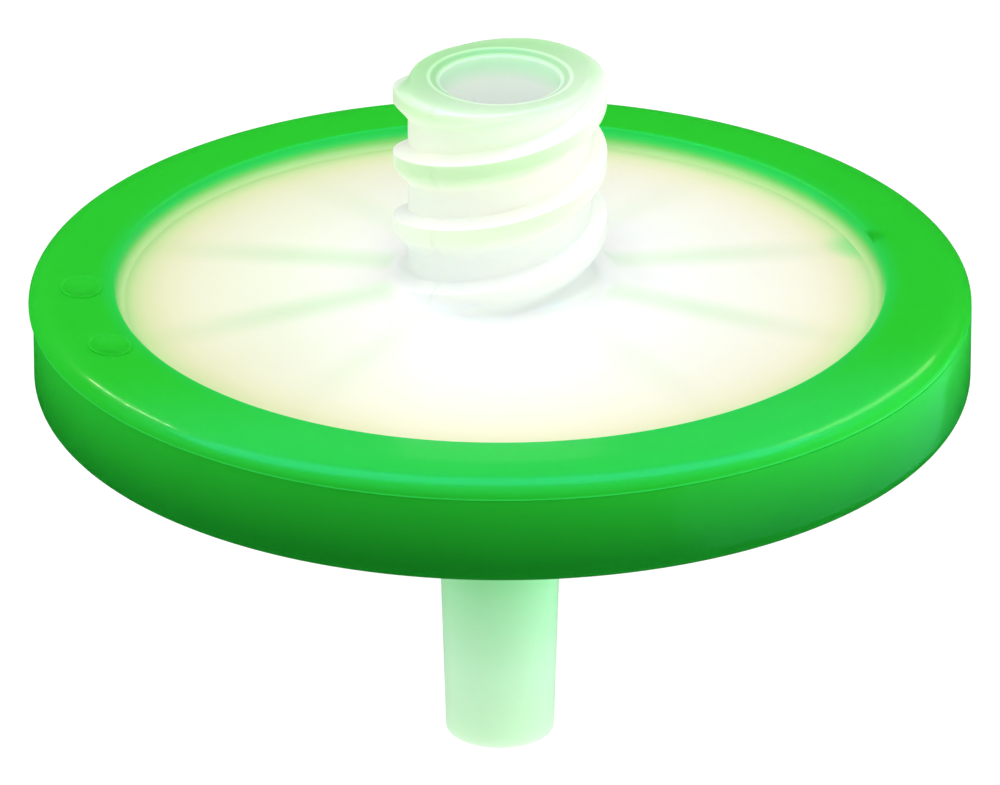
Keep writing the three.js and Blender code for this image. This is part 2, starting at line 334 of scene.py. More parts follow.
FOOT_FILLET = 0.75
foot_height = plate_top(HUB_MEAN + FOOT_FILLET)
foot_grow = (HUB_MEAN + FOOT_FILLET) / HUB_MEAN
oval = []
for i in range(HUB_COLUMNS):
    angle = tau * i / HUB_COLUMNS
    wide = hub_radius(angle, foot_height) * foot_grow
    oval.append((wide * cos(angle), wide * sin(angle), foot_height))
inlet = draw_outline("inlet_shell", oval)
spans = [round(2 * max(place[i] for place in oval), 2) for i in (0, 1)]
print("the oval is", spans[0], "by", spans[1], "mm")

# %% Lift it into a thread and carry the ring on round the shell
def carry_ring(path, twist=0.0):
    """Extrudes the selected ring along (radius, height) steps, turning it as it rises."""
    for (r0, z0), (r1, z1) in zip(path, path[1:]):
        bpy.ops.mesh.extrude_region_move(TRANSFORM_OT_translate={"value": (0, 0, (z1 - z0) * MM)})
        if twist:
            bpy.ops.transform.rotate(
                value=-twist * (z1 - z0), orient_axis="Z", orient_type="GLOBAL",
                center_override=(0, 0, 0),
            )
        if r1 != r0:
            bpy.ops.transform.resize(value=(r1 / r0, r1 / r0, 1), center_override=(0, 0, 0))


TOP_ROUND = 0.26
MOUTH_ROUND = 0.06
CHAMFER_WIDE = 0.34  # a shallow cone leads into the bore
CHAMFER_DEEP = 0.14
LIFTS = 90
BORE_MOUTH = 2.15
bore_foot = chamber_roof(1.3) + 0.35
bore_foot_radius = BORE_MOUTH - 0.03 * (HUB_TOP - bore_foot)

fillet_path = [
    (HUB_MEAN + FOOT_FILLET * (1 - cos(a)), foot_height + FOOT_FILLET * (1 - sin(a)))
    for a in (radians(90 - 90 * i / 7) for i in range(8))
]
wall_from, wall_to = foot_height + FOOT_FILLET, HUB_TOP - TOP_ROUND
wall_path = [(HUB_MEAN, wall_from + (wall_to - wall_from) * i / LIFTS) for i in range(LIFTS + 1)]
crown_path = arc(HUB_MEAN - TOP_ROUND, HUB_TOP - TOP_ROUND, TOP_ROUND, TOP_ROUND, 0, 90, 6)
carry_ring(fillet_path, TURN_PER_MM)
carry_ring(wall_path, TURN_PER_MM)
carry_ring(crown_path, TURN_PER_MM)

bpy.ops.mesh.extrude_region_move(TRANSFORM_OT_translate={"value": (0, 0, 0)})
bpy.ops.transform.tosphere(value=1.0)
mesh = bmesh.from_edit_mesh(inlet.data)
top_ring = max(radius_of(vert.co) for vert in mesh.verts if vert.select) / MM
mouth = BORE_MOUTH + MOUTH_ROUND + CHAMFER_WIDE
bpy.ops.transform.resize(value=(mouth / top_ring, mouth / top_ring, 1), center_override=(0, 0, 0))
print("the thread has", LIFTS, "rings, and the bore's mouth is", round(2 * mouth, 2), "mm wide")

# %% [markdown]
# The same ring goes on over the mouth, which is chamfered so that a syringe's cone finds its
# way in. From there it goes down the tapered bore, through the hole in its floor, out under
# the plate to the weld face, up round the edge, and back in over the plate. It then meets
# the hub's foot again, and the last gap is bridged, so the whole shell is one closed skin.

# %% Bore, chamber roof, edge and plate
HOLE_RADIUS = 1.3
PLATE_STOPS = (13.0, 12.2, 11.0, 9.6, 8.2, 6.9, 5.8, 5.15, 4.85)
ROOF_STOPS = (1.9, 3.0, 4.5, 6.0, 8.0, 10.0, 12.0, CHAMBER_RADIUS)

CHAMFER_FOOT = HUB_TOP - CHAMFER_DEEP
BORE_TOP = CHAMFER_FOOT - MOUTH_ROUND
BORE_STEPS = 8

mouth_path = [
    (mouth, HUB_TOP),
    (mouth - 0.02, HUB_TOP - 0.003),
    (mouth - 0.045, HUB_TOP - 0.015),
    (BORE_MOUTH + MOUTH_ROUND + 0.02, CHAMFER_FOOT + 0.004),
    *arc(BORE_MOUTH + MOUTH_ROUND, BORE_TOP, MOUTH_ROUND, MOUTH_ROUND, 90, 180, 4),
]
bore_path = [
    (BORE_MOUTH + (bore_foot_radius - BORE_MOUTH) * share, BORE_TOP + (bore_foot - BORE_TOP) * share)
    for share in [i / BORE_STEPS for i in range(1, BORE_STEPS + 1)]
]
shell_path = [
    *mouth_path,
    *bore_path,
    (HOLE_RADIUS + 0.05, bore_foot),
    (HOLE_RADIUS, bore_foot - 0.05),
    (HOLE_RADIUS, chamber_roof(HOLE_RADIUS)),
    *[(r, chamber_roof(r)) for r in ROOF_STOPS],
    (CHAMBER_RADIUS, WELD),
    (SHELL_RADIUS, WELD),
    (SHELL_RADIUS, PLATE_EDGE),
    (PLATE_START, PLATE_EDGE),
    *[(r, plate_top(r)) for r in PLATE_STOPS],
]
carry_ring(shell_path)
bpy.ops.mesh.select_all(action="DESELECT")
bpy.ops.mesh.select_non_manifold(
    extend=False, use_wire=False, use_multi_face=False, use_non_contiguous=False
)
bpy.ops.mesh.bridge_edge_loops()
bpy.ops.mesh.select_all(action="SELECT")
bpy.ops.mesh.normals_make_consistent(inside=False)
finish_piece(inlet)

# %% [markdown]
# ## Flow ribs
# Ten ribs run out under the inlet plate. They spread the liquid over the membrane and keep
# it from being pressed flat, and their shadows show through the milky plate as faint rays.
# One bar is shaped from a cube: its top is tilted to follow the plate, its lower edges are
# rounded, and then it is copied round the axis and united with the shell.

# %% Model one rib, copy it round and unite it with the shell
RIB_COUNT = 10
RIB_FROM, RIB_TO = 3.9, CHAMBER_RADIUS - 0.7
RIB_WIDTH = 0.6
RIB_GAP = 0.15  # between a rib and the membrane
FIRST_RIB = radians(18)


def cube_bar(name, low, high):
    """A cube made to span two corners, given in millimetres, and left in edit mode."""
    alone()
    middle = (Vector(low) + Vector(high)) / 2 * MM
    bpy.ops.mesh.primitive_cube_add(size=1, location=middle, scale=(Vector(high) - Vector(low)) * MM)
    piece = bpy.context.object
    piece.name = piece.data.name = name
    bpy.ops.object.transform_apply(location=True, rotation=False, scale=True)
    bpy.ops.object.mode_set(mode="EDIT")
    return piece


def ring_of_copies(piece, count, first):
    """Turns the piece to its first angle, copies it round the axis, and joins them all."""
    copies = []
    for i in range(count):
        alone(piece)
        bpy.ops.object.duplicate()
        copy = bpy.context.object
        copy.data.transform(Matrix.Rotation(first + tau * i / count, 4, "Z"))
        copies.append(copy)
    bpy.data.objects.remove(piece)
    alone(copies[0])
    for copy in copies:
        copy.select_set(True)
    bpy.ops.object.join()
    return bpy.context.object


rib = cube_bar("rib", (RIB_FROM, -RIB_WIDTH / 2, WELD + RIB_GAP), (RIB_TO, RIB_WIDTH / 2, WELD + 1))
pick(lambda p: p.z > WELD + 0.9)
bpy.ops.transform.translate(value=(0, 0, (chamber_roof(RIB_TO) + 0.3 - WELD - 1) * MM))
pick(lambda p: p.z > WELD + 0.3 and p.x < RIB_FROM + 0.1)
bpy.ops.transform.translate(value=(0, 0, (chamber_roof(RIB_FROM) - chamber_roof(RIB_TO)) * MM))
pick(lambda p: p.z < WELD + RIB_GAP + 0.01)
bpy.ops.mesh.bevel(offset=0.1 * MM, segments=3, affect="EDGES")
bpy.ops.object.mode_set(mode="OBJECT")
ribs = ring_of_copies(rib, RIB_COUNT, FIRST_RIB)
print("ribs:", len(ribs.data.polygons), "faces in", RIB_COUNT, "bars")
combine(inlet, ribs, "UNION")
bpy.ops.object.mode_set(mode="EDIT")
finish_piece(inlet)

# %% [markdown]
# ## The outlet shell
# The lower shell carries the membrane on five rings, with drain channels cut across them to
# a well in the middle. Below it are a short stem and the male Luer slip, a cone that widens
# by 6 percent of its length, with a straight bore. It is drawn and spun like the rim, and the
# channels are then cut with one bar that is copied round.

# %% Model the outlet shell
OUTLET_STEPS = 192
SLIP_LENGTH = 9.0
TIP_RADIUS = 1.973
TIP_ROUND = 0.1
OUTLET_BORE = 1.15
STEM_FILLET = 1.2
RING_COUNT = 5
RING_WIDTH = 0.6
WELL_RADIUS = 2.2
GROOVE = 0.45  # depth of the grooves between the rings
WELL_DEPTH = 1.1
CHANNEL_COUNT = 10
CHANNEL_WIDTH = 0.7

recess = MEMBRANE_RADIUS + 0.1
groove_floor = SEAT - GROOVE
pitch = (CHAMBER_RADIUS - WELL_RADIUS) / RING_COUNT
stem_top = plate_bottom(STEM_RADIUS + STEM_FILLET) - STEM_FILLET
slip_top = TIP_RADIUS + 0.03 * SLIP_LENGTH
support = []
for i in reversed(range(RING_COUNT)):
    inner = WELL_RADIUS + i * pitch
    outer = inner + RING_WIDTH
    support += [(inner + pitch, SEAT)] if i == RING_COUNT - 1 else []
    support += [(inner + pitch, groove_floor), (outer, groove_floor), (outer, SEAT - 0.05)]
    support += [(outer - 0.05, SEAT), (inner + 0.05, SEAT), (inner, SEAT - 0.05)]

outlet_section = [
    (OUTLET_BORE + 0.05, 0.0),
    *arc(TIP_RADIUS - TIP_ROUND, TIP_ROUND, TIP_ROUND, TIP_ROUND, 270, 360, 5),
    (slip_top - 0.135, SLIP_LENGTH / 2),
    (slip_top, SLIP_LENGTH),
    (slip_top + 0.1, SLIP_LENGTH + 0.03),
    (STEM_RADIUS - 0.06, SLIP_LENGTH + 0.38),
    (STEM_RADIUS, SLIP_LENGTH + 0.48),
    *arc(STEM_RADIUS + STEM_FILLET, stem_top, STEM_FILLET, STEM_FILLET, 180, 90, 8),
    *[(r, plate_bottom(r)) for r in (6.0, 8.5, 11.0)],
    (PLATE_START, SHELL_BOTTOM),
    (SHELL_RADIUS, SHELL_BOTTOM),
    (SHELL_RADIUS, WELD),
    (recess, WELD),
    (recess, SEAT),
    *support,
    (WELL_RADIUS, groove_floor),
    (OUTLET_BORE, SEAT - WELL_DEPTH),
    (OUTLET_BORE, SLIP_LENGTH),
    (OUTLET_BORE, 0.05),
]
outlet = draw_outline("outlet_shell", section(outlet_section))
spin_round(OUTLET_STEPS)
bpy.ops.object.mode_set(mode="OBJECT")

channel_end = CHAMBER_RADIUS - RING_WIDTH
channel_half = CHANNEL_WIDTH / 2
channel = cube_bar(
    "channel", (1.3, -channel_half, groove_floor), (channel_end, channel_half, SEAT + 0.3)
)
pick(lambda p: p.z < SEAT)
bpy.ops.mesh.bevel(offset=0.12 * MM, segments=3, affect="EDGES")
bpy.ops.object.mode_set(mode="OBJECT")
channels = ring_of_copies(channel, CHANNEL_COUNT, 0.0)
combine(outlet, channels, "DIFFERENCE")
bpy.ops.object.mode_set(mode="EDIT")
finish_piece(outlet)

# %% [markdown]
# ## The membrane
# The membrane is a disc of microporous film, punched from a sheet and laid in its recess. It
# starts from a cylinder of its own size. Its caps are inset, where the shells press a ring
# into the film, and its punched edge is rounded over.

# %% Model the membrane
FILM = WELD - SEAT
CUT_ROUND = 0.03  # the punched edge
alone()
bpy.ops.mesh.primitive_cylinder_add(
    vertices=192, radius=MEMBRANE_RADIUS * MM, depth=FILM * MM, location=(0, 0, (SEAT + FILM / 2) * MM)
)
film = bpy.context.object
film.name = film.data.name = "membrane_disc"
bpy.ops.object.transform_apply(location=True, rotation=False, scale=False)
bpy.ops.object.mode_set(mode="EDIT")
bpy.ops.mesh.select_all(action="SELECT")
bpy.ops.mesh.bevel(offset=CUT_ROUND * MM, segments=2, affect="EDGES")
cap_radius = MEMBRANE_RADIUS - CUT_ROUND
cap_height = FILM / 2 - 0.001
pick(lambda p: abs(radius_of(p) - cap_radius) < 0.01 and abs(p.z - SEAT - FILM / 2) > cap_height)
bpy.ops.mesh.inset(thickness=(MEMBRANE_RADIUS - CHAMBER_RADIUS) * MM)
bpy.ops.mesh.inset(thickness=0.15 * MM, depth=-0.01 * MM)
bpy.ops.mesh.select_all(action="SELECT")
bpy.ops.mesh.normals_make_consistent(inside=False)
finish_piece(film)

# %% [markdown]
# ## Materials
# Both plastics are injection-moulded polypropylene. Uncoloured, it is milky: light enters,
# scatters within a millimetre or two, and leaves again, so shadows stay pale and edges glow.
# That is what subsurface scattering gives. A green masterbatch lets the light through only
# near the surface. The patterns are worked out from each point's place on the piece, which
# the Object output of Texture Coordinate gives in metres.

# %% Helpers for materials
def linear(code):
    """A colour written as sRGB hex, as the linear values that a shader works with."""
    parts = [int(code[i : i + 2], 16) / 255 for i in (0, 2, 4)]
    return (*[c / 12.92 if c <= 0.04045 else ((c + 0.055) / 1.055) ** 2.4 for c in parts], 1.0)


def add(owner, kind, links=None, **settings):
    """Adds a node, and links or sets each input. A node as a value gives its first output."""
    node = owner.node_tree.nodes.new(kind)
    for name, value in settings.items():
        setattr(node, name, value)
    for name, value in (links or {}).items():
        if isinstance(value, bpy.types.Node):
            value = value.outputs[0]
        if isinstance(value, bpy.types.NodeSocket):
            owner.node_tree.links.new(value, node.inputs[name])
        else:
            node.inputs[name].default_value = value
    return node


def paint_stops(ramp, stops):
    """Sets a colour ramp to (position, hex colour) pairs."""
    elements = ramp.color_ramp.elements
    while len(elements) < len(stops):
        elements.new(0.5)
    for element, (position, code) in zip(elements, stops):
        element.position = position
        element.color = linear(code)


def start_material(name):
    """An empty material that will read its patterns from places on the piece."""
    material = bpy.data.materials.new(name)
    material.use_nodes = True
    material.node_tree.nodes.clear()
    place = add(material, "ShaderNodeTexCoord").outputs["Object"]
    return material, place


def end_material(material, surface):
    """Sends the surface to the material's output."""
    add(material, "ShaderNodeOutputMaterial", {"Surface": surface})
    print(material.name, len(material.node_tree.nodes), "nodes")


def give(piece, material, slot_name, *nodes):
    """Puts the material on the piece, hangs it on the root body, and hides the nodes that it stands in
    for.
    """
    piece.data.materials.clear()
    piece.data.materials.append(material)
    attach(piece, "root")
    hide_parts(*nodes)


# %% [markdown]
# ## Height and radius as colours
# How deep the plastic is, what lies behind it, and the painted light and shade change with
# the height or with the distance from the axis. Both are turned to a number from 0 to 1 that
# runs through a colour ramp, whose stops are written in millimetres.

# %% Ramps by height and by radius
def ramp_by_height(material, place, stops):
    """A colour that changes with height, from (millimetres, hex colour) pairs."""
    low, high = stops[0][0], stops[-1][0]
    height = add(material, "ShaderNodeSeparateXYZ", {0: place}).outputs["Z"]
    share = add(material, "ShaderNodeMapRange", {0: height, 1: low * MM, 2: high * MM})
    ramp = add(material, "ShaderNodeValToRGB", {0: share})
    paint_stops(ramp, [((z - low) / (high - low), code) for z, code in stops])
    return ramp.outputs["Color"]


def radius_on(material, place):
    """Distance from the axis, in metres."""
    level = add(material, "ShaderNodeVectorMath", {0: place, 1: (1, 1, 0)}, operation="MULTIPLY")
    length = add(material, "ShaderNodeVectorMath", {0: level}, operation="LENGTH")
    return length.outputs["Value"]


def ramp_by_radius(material, radius, stops):
    """A colour that changes with the distance from the axis, like ramp_by_height."""
    low, high = stops[0][0], stops[-1][0]
    share = add(material, "ShaderNodeMapRange", {0: radius, 1: low * MM, 2: high * MM})
    ramp = add(material, "ShaderNodeValToRGB", {0: share})
    paint_stops(ramp, [((r - low) / (high - low), code) for r, code in stops])
    return ramp.outputs["Color"]


# %% [markdown]
# ## Green polypropylene
# The rim is polypropylene with a green masterbatch, injected round the shells. On its upper
# face the green is a thin layer over the milky plate, which sends light back through it, so
# it looks bright, and towards the front a cyan sheen is painted in as a painted reflection.
# Lower down it is painted deep green: partly the thick plastic there, partly painted shade
# on its side, and a painted highlight runs along the parting line as a thin pale hair. Round
# the window the layer gets thinner still, and the green turns to turquoise and then pale as
# it runs out on the plate, partly with painted light over the shade at the lip's foot: those
# tones are mixed in by height, on the lip alone. A small, soft dark green spot is painted at
# the window.

# %% Tones of the rim: its depth, painted shade, a painted highlight and a painted sheen
GREEN_AND_SHADE_BY_HEIGHT = [  # deep below and bright above, partly depth and partly painted shade, with a painted highlight as a thin pale hair at the parting line
    (13.8, "0E6818"),
    (14.7, "137A1D"),
    (15.6, "1A8C22"),
    (16.6, "1F9D28"),
    (17.09, "22A62A"),
    (17.14, "29B846"),
    (17.2, "29B846"),
    (17.25, "23AC2A"),
    (17.8, "26BB2A"),
]
SHEEN_GREEN = "2CC44C"
SHEEN_WAY = (0.1, -1.0, 0.0)  # the front, where a cyan sheen is painted into the green as a painted reflection

green, place = start_material("green_polypropylene_moulded")
# darker towards the foot: partly the plastic's depth, partly painted shade on the side
depth_and_shade_colour = ramp_by_height(green, place, GREEN_AND_SHADE_BY_HEIGHT)
towards_front = add(green, "ShaderNodeVectorMath", {0: place, 1: SHEEN_WAY}, operation="DOT_PRODUCT")
sheen_side = add(green, "ShaderNodeMapRange", {
    0: towards_front.outputs["Value"], 1: 6.0 * MM, 2: 13.5 * MM
}, interpolation_type="SMOOTHSTEP")
height = add(green, "ShaderNodeSeparateXYZ", {0: place}).outputs["Z"]
above_parting = add(green, "ShaderNodeMapRange", {
    0: height, 1: 17.15 * MM, 2: 17.7 * MM
}, interpolation_type="SMOOTHSTEP")
sheen_share = add(green, "ShaderNodeMath", {0: sheen_side, 1: above_parting}, operation="MULTIPLY")
# painted reflection: a cyan sheen over the upper face, towards the front
sheened = add(green, "ShaderNodeMix", {
    0: sheen_share, 6: depth_and_shade_colour, 7: linear(SHEEN_GREEN)
}, data_type="RGBA")
print("green from the foot to the top in", len(GREEN_AND_SHADE_BY_HEIGHT), "tones")

# %% Tones of the lip, with painted light at its foot, the window's edge and a dark spot
LIP_AND_GLOW_BY_HEIGHT = [  # pale where it runs out on the plate, then turquoise, then green; partly the thinning layer, partly painted light that lifts the shade on the lip wall
    (17.3, "BFDA9A"),
    (17.38, "A8D389"),
    (17.5, "86D374"),
    (17.63, "56D868"),
    (17.76, "36D662"),
    (17.9, "2CD056"),
    (18.0, "28C444"),
]
EDGE_GREEN = "2AC258"
EDGE_WIDE = 0.6  # how far the turquoise spreads from the window over the rim's top
DARK_SPOT_PLACE = Vector((13.4, 3.6, 18.0)) * MM  # a soft dark green spot is painted here
DARK_SPOT_GREEN = "1AA310"

out_from_axis = radius_on(green, place)
near_edge = add(green, "ShaderNodeMapRange", {
    0: out_from_axis, 1: WINDOW_RADIUS * MM, 2: (WINDOW_RADIUS + EDGE_WIDE) * MM, 3: 0.6, 4: 0.0
})
off_back = add(green, "ShaderNodeMapRange", {
    0: towards_front.outputs["Value"], 1: -11.0 * MM, 2: -3.0 * MM
})
edge_here = add(green, "ShaderNodeMath", {0: near_edge, 1: off_back}, operation="MULTIPLY")
edge_share = add(green, "ShaderNodeMath", {0: edge_here, 1: above_parting}, operation="MULTIPLY")
edged = add(green, "ShaderNodeMix", {
    0: edge_share, 6: sheened.outputs[2], 7: linear(EDGE_GREEN)
}, data_type="RGBA")
on_lip = add(green, "ShaderNodeMapRange", {
    0: out_from_axis, 1: (WINDOW_RADIUS + 0.02) * MM, 2: (WINDOW_RADIUS + 0.16) * MM, 3: 1.0, 4: 0.0
})
above_plate = add(green, "ShaderNodeMath", {
    0: height, 1: (PLATE_EDGE - BOND) * MM
}, operation="GREATER_THAN")
upper_lip = add(green, "ShaderNodeMath", {0: on_lip, 1: above_plate}, operation="MULTIPLY")
# painted light on the lip wall, over the shade at its foot
lipped = add(green, "ShaderNodeMix", {
    0: upper_lip, 6: edged.outputs[2], 7: ramp_by_height(green, place, LIP_AND_GLOW_BY_HEIGHT)
}, data_type="RGBA")
from_dark_spot = add(green, "ShaderNodeVectorMath", {0: place, 1: DARK_SPOT_PLACE}, operation="DISTANCE")
near_dark_spot = add(green, "ShaderNodeMapRange", {
    0: from_dark_spot.outputs["Value"], 1: 0.15 * MM, 2: 0.75 * MM, 3: 0.85, 4: 0.0
}, interpolation_type="SMOOTHSTEP")
off_lip = add(green, "ShaderNodeMath", {0: 1.0, 1: upper_lip}, operation="SUBTRACT")
on_face = add(green, "ShaderNodeMapRange", {
    0: height, 1: (RIM_TOP - 0.12) * MM, 2: (RIM_TOP - 0.05) * MM
})
dark_spot_share = add(green, "ShaderNodeMath", {0: near_dark_spot, 1: on_face}, operation="MULTIPLY")
spotted = add(green, "ShaderNodeMix", {
    0: dark_spot_share, 6: lipped.outputs[2], 7: linear(DARK_SPOT_GREEN)
}, data_type="RGBA")
print("lip from the plate to the top in", len(LIP_AND_GLOW_BY_HEIGHT), "tones")

# %% [markdown]
# The steel of the mould was blasted, which leaves a satin skin: a fine grain, with patches
# that are a little smoother where the melt froze first. The melt also froze in faint waves.
# They are put on the clear coat only, because they break the edges of a highlight but change
# nothing in the colour. On the thin lip there is neither coat nor depth, so that it blends
# into the plate.

# %% Skin of the rim, and the finished plastic
FLOW_WAVE = 0.45  # millimetres between the faint waves that break a highlight
BLAST_GRAIN = 0.12  # millimetres between the grains left by blasted steel
FREEZE_PATCH = 2.5  # millimetres across a smoother patch
COAT = 0.1

grain = add(green, "ShaderNodeTexNoise", {
    "Vector": place, "Scale": 1 / (BLAST_GRAIN * MM), "Detail": 2.0
})
patches = add(green, "ShaderNodeTexNoise", {
    "Vector": place, "Scale": 1 / (FREEZE_PATCH * MM), "Detail": 3.0
})
satin = add(green, "ShaderNodeMapRange", {0: patches, 1: 0.3, 2: 0.7, 3: 0.3, 4: 0.42})
skin = add(green, "ShaderNodeBump", {"Height": grain, "Distance": 0.004 * MM, "Strength": 1.0})
waves = add(green, "ShaderNodeTexNoise", {
    "Vector": place, "Scale": 1 / (FLOW_WAVE * MM), "Detail": 2.0
})
wavy = add(green, "ShaderNodeBump", {"Height": waves, "Distance": 0.007 * MM, "Strength": 1.0})
clear_skin = add(green, "ShaderNodeMath", {0: off_lip, 1: COAT}, operation="MULTIPLY")
plastic = add(green, "ShaderNodeBsdfPrincipled", {
    "Base Color": spotted.outputs[2],
    "Roughness": satin,
    "Normal": skin,
    "IOR": 1.49,
    "Specular IOR Level": 0.04,
    "Specular Tint": linear("60E8FF"),
    "Coat Weight": clear_skin,
    "Coat Roughness": 0.07,
    "Coat Normal": wavy,
    "Coat IOR": 1.49,
    "Subsurface Weight": off_lip,
    "Subsurface Radius": (0.6, 1.0, 0.7),
    "Subsurface Scale": 0.2 * MM,
})
end_material(green, plastic)
give(rim, green, "green_polypropylene", "sealing_rim")

# %% [markdown]
# ## Natural polypropylene
# The shells are the same plastic without any colour: milky white, smooth from the mould.
# Green light from the rim spreads inside the plate and fades within 2 mm, and further in
# the plate is cream before it turns white. The ribs under it show through as ten soft rays of
# painted shadow, which fade towards the front, where brighter light washes them out, and
# towards the back alike. Light that travels up the hub's wall leaves at its top face and in
# its bore, which look faintly mint, and at its chamfer, which shows as two fine rings. The
# plate is painted a little darker towards its left, and the hub's top face darker towards the
# back left, as painted shade. The spread of coloured light through a clear plastic is slow
# to trace, so these tints are painted where such light would come out.

# %% Tones of the plate, the hub and the bore
PLATE_BY_RADIUS = [  # white at the hub, then cream, then green beside the rim
    (3.5, "FFFFFC"),
    (6.0, "FBFCF5"),
    (8.0, "F6F6EC"),
    (9.5, "F3F1E4"),
    (11.0, "F0ECDA"),
    (12.0, "ECE7CD"),
    (12.5, "E6E2C1"),
    (12.8, "E0E1B9"),
    (13.0, "D9DFB0"),
    (13.2, "D2DEA8"),
    (13.43, "C2DC9C"),
    (13.9, "98DC84"),
]
HUB_BY_HEIGHT = [  # white at the foot, faintly mint at the top
    (18.5, "FFFFF9"),
    (21.0, "FCFEF2"),
    (23.6, "F5FCEA"),
    (25.2, "E8F5E2"),
    (25.6, "DCEFD9"),
]
BORE_BY_HEIGHT = [(23.6, "FAFFF9"), (24.8, "F4FFF3"), (25.5, "D2F4D7"), (25.9, "CDEFD0")]

natural, place = start_material("natural_polypropylene_moulded")
radius = radius_on(natural, place)
plate_colour = ramp_by_radius(natural, radius, PLATE_BY_RADIUS)
hub_colour = ramp_by_height(natural, place, HUB_BY_HEIGHT)
on_hub = add(natural, "ShaderNodeMapRange", {0: radius, 1: 3.85 * MM, 2: 4.1 * MM, 3: 1.0, 4: 0.0})
in_bore = add(natural, "ShaderNodeMapRange", {0: radius, 1: 2.15 * MM, 2: 2.25 * MM, 3: 1.0, 4: 0.0})
print("plate in", len(PLATE_BY_RADIUS), "tones and hub in", len(HUB_BY_HEIGHT))

# %% [markdown]
# For the rays, the angle round the axis is wrapped into the gap between two ribs. Times the
# radius, it gives the distance from the middle of the nearest rib.

# %% Rays over the ribs
RIB_SHADOW = "DEF3DF"
RAY_HALF = 1.3  # from the middle of a ray to where it fades out
RAY_SHARE = 0.8

flat = add(natural, "ShaderNodeSeparateXYZ", {0: place}).outputs
bearing = add(natural, "ShaderNodeMath", {0: flat["Y"], 1: flat["X"]}, operation="ARCTAN2")
half_gap = pi / RIB_COUNT
from_rib = add(natural, "ShaderNodeMath", {
    0: bearing, 1: FIRST_RIB + half_gap, 2: FIRST_RIB - half_gap
}, operation="WRAP")
turned = add(natural, "ShaderNodeMath", {0: from_rib, 1: FIRST_RIB}, operation="SUBTRACT")
across = add(natural, "ShaderNodeMath", {0: turned, 1: radius}, operation="MULTIPLY")
aside = add(natural, "ShaderNodeMath", {0: across}, operation="ABSOLUTE")
ray = add(natural, "ShaderNodeMapRange", {
    0: aside, 1: 0.0, 2: RAY_HALF * MM, 3: RAY_SHARE, 4: 0.0
}, interpolation_type="SMOOTHSTEP")
ray_start = add(natural, "ShaderNodeMapRange", {0: radius, 1: 3.6 * MM, 2: 4.3 * MM})
ray_end = add(natural, "ShaderNodeMapRange", {0: radius, 1: 8.0 * MM, 2: 14.0 * MM, 3: 1.0, 4: 0.0})
ray_span = add(natural, "ShaderNodeMath", {0: ray_start, 1: ray_end}, operation="MULTIPLY")
# painted light: the rays fade towards the front, where brighter light washes them out, and towards the
# back alike
along = add(natural, "ShaderNodeMath", {0: bearing}, operation="COSINE")
ray_side_weight = add(natural, "ShaderNodeMath", {0: along, 1: 2.0}, operation="POWER")
ray_reach = add(natural, "ShaderNodeMath", {0: ray_span, 1: ray_side_weight}, operation="MULTIPLY")
ray_share = add(natural, "ShaderNodeMath", {0: ray, 1: ray_reach}, operation="MULTIPLY")
rayed = add(natural, "ShaderNodeMix", {
    0: ray_share, 6: plate_colour, 7: linear(RIB_SHADOW)
}, data_type="RGBA", blend_type="MULTIPLY")
print("rays:", RIB_COUNT, "of", 2 * RAY_HALF, "mm")

# %% Tints from the light that spreads inside, and painted shade
# painted shade: the plate is a little darker towards its left, where less light falls
PLATE_SHADE_WAY = (-1.0, 0.15, 0.0)
PLATE_SHADE_TINT = "F6FAF0"
PLUME_PLACE = Vector((12.95, 4.2, 17.4)) * MM  # green melt that crept in below the dark spot on the rim
PLUME_GREEN = "74D87C"
TOP_BY_RADIUS = [  # the bore's edge and the chamfer's edge are the two pale rings
    (2.2, "DCF4DC"),
    (2.26, "DCF4DC"),
    (2.33, "BCDEBC"),
    (2.46, "BCDEBC"),
    (2.53, "E2F6E0"),
    (2.58, "E2F6E0"),
    (2.66, "C8E2C4"),
    (3.3, "CCE5C8"),
    (3.9, "DCEEDA"),
]
LEAK_WAY = (-0.5, 0.87, 0.0)  # towards the back left, painted darker and greener: painted shade there, with green light that comes up the wall
LEAK_GREEN = "D3F2CF"

to_left = add(natural, "ShaderNodeVectorMath", {0: place, 1: PLATE_SHADE_WAY}, operation="DOT_PRODUCT")
left_share = add(natural, "ShaderNodeMapRange", {0: to_left.outputs["Value"], 1: 1.0 * MM, 2: 8.0 * MM})
tinged = add(natural, "ShaderNodeMix", {
    0: left_share, 6: rayed.outputs[2], 7: linear(PLATE_SHADE_TINT)
}, data_type="RGBA", blend_type="MULTIPLY")
from_plume = add(natural, "ShaderNodeVectorMath", {0: place, 1: PLUME_PLACE}, operation="DISTANCE")
plume = add(natural, "ShaderNodeMapRange", {
    0: from_plume.outputs["Value"], 1: 0.3 * MM, 2: 1.5 * MM, 3: 0.6, 4: 0.0
}, interpolation_type="SMOOTHSTEP")
plumed = add(natural, "ShaderNodeMix", {
    0: plume, 6: tinged.outputs[2], 7: linear(PLUME_GREEN)
}, data_type="RGBA")
whole = add(natural, "ShaderNodeMix", {
    0: on_hub, 6: plumed.outputs[2], 7: hub_colour
}, data_type="RGBA")
towards_rim = add(natural, "ShaderNodeVectorMath", {0: place, 1: LEAK_WAY}, operation="DOT_PRODUCT")
leak = add(natural, "ShaderNodeMapRange", {
    0: towards_rim.outputs["Value"], 1: -2.1 * MM, 2: 2.1 * MM, 3: 0.0, 4: 1.0
})
top_colour = add(natural, "ShaderNodeMix", {
    0: leak, 6: ramp_by_radius(natural, radius, TOP_BY_RADIUS), 7: linear(LEAK_GREEN)
}, data_type="RGBA", blend_type="MULTIPLY")
on_top = add(natural, "ShaderNodeMapRange", {
    0: flat["Z"], 1: (HUB_TOP - 0.3) * MM, 2: (HUB_TOP - 0.1) * MM
}, interpolation_type="SMOOTHSTEP")
